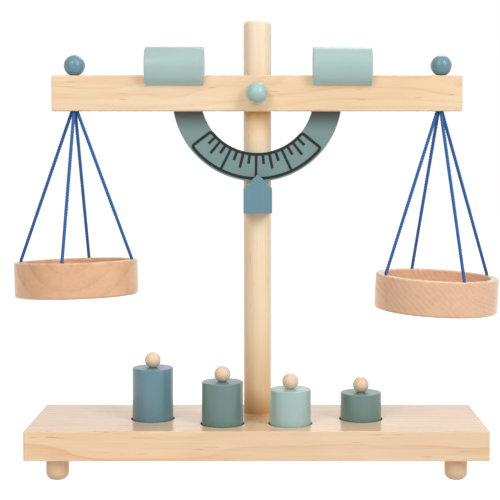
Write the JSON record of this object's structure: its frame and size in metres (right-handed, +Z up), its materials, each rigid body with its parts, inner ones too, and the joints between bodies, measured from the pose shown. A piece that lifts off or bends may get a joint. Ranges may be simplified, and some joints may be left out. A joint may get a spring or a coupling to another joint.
{
  "type": "toy beam balance",
  "caption": "Child's wooden beam balance: post on a footed board, tilting beam with half-ring dial and sliders, round pans hung on cords, and cylinder weights in recesses.",
  "frame": {"origin": "on the floor under the middle of the base board", "axes": "+X to the right along the beam, -Y the front with the dial's scale, +Z up"},
  "size_m": [0.3682, 0.1, 0.3424],
  "materials": {
    "pine": "satin",
    "beech": "satin",
    "plain_wood": "satin",
    "blue_paint": "satin",
    "sage_paint": "satin",
    "mint_paint": "satin",
    "dial_paint": "satin",
    "cord": "matte",
    "steel": "satin"
  },
  "bodies": {
    "stand": {"base_board": "pine", "foot_front_left": "plain_wood", "foot_front_right": "plain_wood", "foot_back_left": "plain_wood", "foot_back_right": "plain_wood", "post": "pine", "post_screw": "steel", "pointer": "blue_paint", "pivot_axle": "beech", "pivot_spacer": "plain_wood", "pivot_bead": "mint_paint"},
    "beam": {"beam": "pine", "dial": "dial_paint", "dial_screws": "steel", "bead_left": "blue_paint", "bead_right": "blue_paint", "cord_tail_left": "cord", "cord_tail_right": "cord"},
    "slider_left": {"slider_left": "mint_paint"},
    "slider_right": {"slider_right": "mint_paint"},
    "knot_left": {"cord_knot_left": "cord"},
    "knot_right": {"cord_knot_right": "cord"},
    "pan_left": {"pan_left": "beech", "cord_left_1": "cord", "cord_left_2": "cord", "cord_left_3": "cord", "cord_left_4": "cord"},
    "pan_right": {"pan_right": "beech", "cord_right_1": "cord", "cord_right_2": "cord", "cord_right_3": "cord", "cord_right_4": "cord"},
    "weight_1": {"weight_1": "blue_paint", "knob_1": "plain_wood", "knob_peg_1": "beech"},
    "weight_2": {"weight_2": "sage_paint", "knob_2": "plain_wood", "knob_peg_2": "beech"},
    "weight_3": {"weight_3": "mint_paint", "knob_3": "plain_wood", "knob_peg_3": "beech"},
    "weight_4": {"weight_4": "sage_paint", "knob_4": "plain_wood", "knob_peg_4": "beech"}
  },
  "joints": [
    {"name": "beam_tilt", "type": "hinge", "parent": "stand", "child": "beam", "pos_m": [0, -0.002, 0.2858], "axis": [0, 1, 0], "range_deg": [-15, 15]},
    {"name": "left_pan_level", "type": "hinge", "parent": "beam", "child": "knot_left", "pos_m": [-0.1386, -0.002, 0.2756], "axis": [0, 1, 0], "range_deg": [-15, 15]},
    {"name": "left_pan_sway", "type": "hinge", "parent": "knot_left", "child": "pan_left", "pos_m": [-0.1386, -0.002, 0.2756], "axis": [1, 0, 0], "range_deg": [-15, 15]},
    {"name": "right_pan_level", "type": "hinge", "parent": "beam", "child": "knot_right", "pos_m": [0.1386, -0.002, 0.2756], "axis": [0, 1, 0], "range_deg": [-15, 15]},
    {"name": "right_pan_sway", "type": "hinge", "parent": "knot_right", "child": "pan_right", "pos_m": [0.1386, -0.002, 0.2756], "axis": [1, 0, 0], "range_deg": [-15, 15]},
    {"name": "left_slider_slide", "type": "slide", "parent": "beam", "child": "slider_left", "axis": [1, 0, 0], "range_m": [-0.04, 0.02]},
    {"name": "right_slider_slide", "type": "slide", "parent": "beam", "child": "slider_right", "axis": [1, 0, 0], "range_m": [-0.02, 0.04]},
    {"name": "weight_1_lift", "type": "slide", "parent": "stand", "child": "weight_1", "axis": [0, 0, 1], "range_m": [0, 0.012]},
    {"name": "weight_2_lift", "type": "slide", "parent": "stand", "child": "weight_2", "axis": [0, 0, 1], "range_m": [0, 0.012]},
    {"name": "weight_3_lift", "type": "slide", "parent": "stand", "child": "weight_3", "axis": [0, 0, 1], "range_m": [0, 0.012]},
    {"name": "weight_4_lift", "type": "slide", "parent": "stand", "child": "weight_4", "axis": [0, 0, 1], "range_m": [0, 0.012]}
  ],
  "couplings": [
    {"joint": "left_pan_level", "follows": "beam_tilt", "ratio": -1},
    {"joint": "right_pan_level", "follows": "beam_tilt", "ratio": -1}
  ]
}
